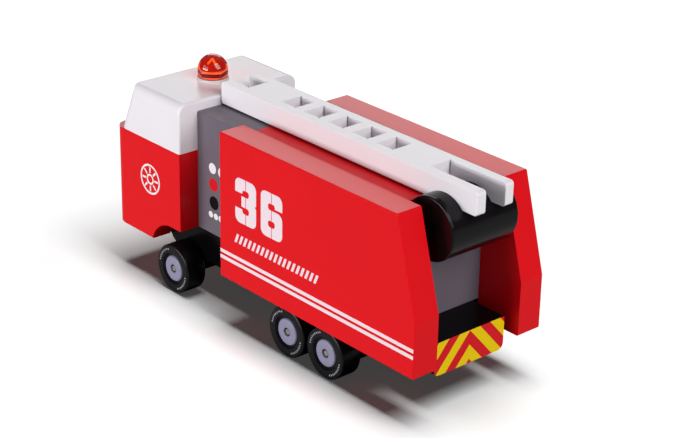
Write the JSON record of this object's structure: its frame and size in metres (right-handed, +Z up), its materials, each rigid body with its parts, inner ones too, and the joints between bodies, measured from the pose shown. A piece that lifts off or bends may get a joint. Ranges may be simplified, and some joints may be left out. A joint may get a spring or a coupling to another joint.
{
  "type": "wooden toy fire engine",
  "caption": "Painted wooden toy fire engine with cab, side panels, roof beacon, rolling wheels and a ladder that tilts up on a rear drum.",
  "frame": {"origin": "on the floor, under the middle of the engine's length and width", "axes": "+X to the front of the engine, +Y to its left, +Z up"},
  "size_m": [0.2084, 0.072, 0.1029],
  "materials": {
    "red_paint": "satin paint on beech",
    "white_paint": "gloss paint on beech",
    "grey_paint": "gloss paint on beech",
    "black_paint": "gloss paint on beech",
    "tyre_rubber": "matte",
    "hub_plastic": "satin",
    "steel": "bare",
    "red_clear_plastic": "clear",
    "orange_plastic": "gloss",
    "clear_plastic": "gloss"
  },
  "bodies": {
    "chassis": {"chassis_board": "black_paint", "axle_block_front": "black_paint", "axle_block_rear": "black_paint", "body_block": "grey_paint", "ladder_bed": "red_paint", "pump_block": "grey_paint", "side_panel_left": "red_paint", "side_panel_right": "red_paint", "cab_lower": "red_paint", "cab_upper": "white_paint", "beacon_collar": "clear_plastic", "beacon_lamp": "orange_plastic", "beacon_lens": "red_clear_plastic"},
    "front_wheels": {"axle_front": "steel", "hub_front_left": "hub_plastic", "tyre_front_left": "tyre_rubber", "hub_front_right": "hub_plastic", "tyre_front_right": "tyre_rubber"},
    "middle_wheels": {"axle_middle": "steel", "hub_middle_left": "hub_plastic", "tyre_middle_left": "tyre_rubber", "hub_middle_right": "hub_plastic", "tyre_middle_right": "tyre_rubber"},
    "rear_wheels": {"axle_rear": "steel", "hub_rear_left": "hub_plastic", "tyre_rear_left": "tyre_rubber", "hub_rear_right": "hub_plastic", "tyre_rear_right": "tyre_rubber"},
    "ladder_arm": {"ladder": "white_paint", "drum": "black_paint", "pivot_pin": "steel"}
  },
  "joints": [
    {"name": "ladder_tilt", "type": "hinge", "parent": "chassis", "child": "ladder_arm", "pos_m": [-0.08662, 0, 0.0787], "axis": [0, -1, 0], "range_deg": [0, 90]},
    {"name": "front_wheel_spin", "type": "hinge", "parent": "chassis", "child": "front_wheels", "pos_m": [0.06073, 0, 0.0115], "axis": [0, 1, 0], "continuous": true},
    {"name": "middle_wheel_spin", "type": "hinge", "parent": "chassis", "child": "middle_wheels", "pos_m": [-0.01937, 0, 0.0115], "axis": [0, 1, 0], "continuous": true},
    {"name": "rear_wheel_spin", "type": "hinge", "parent": "chassis", "child": "rear_wheels", "pos_m": [-0.04417, 0, 0.0115], "axis": [0, 1, 0], "continuous": true}
  ]
}
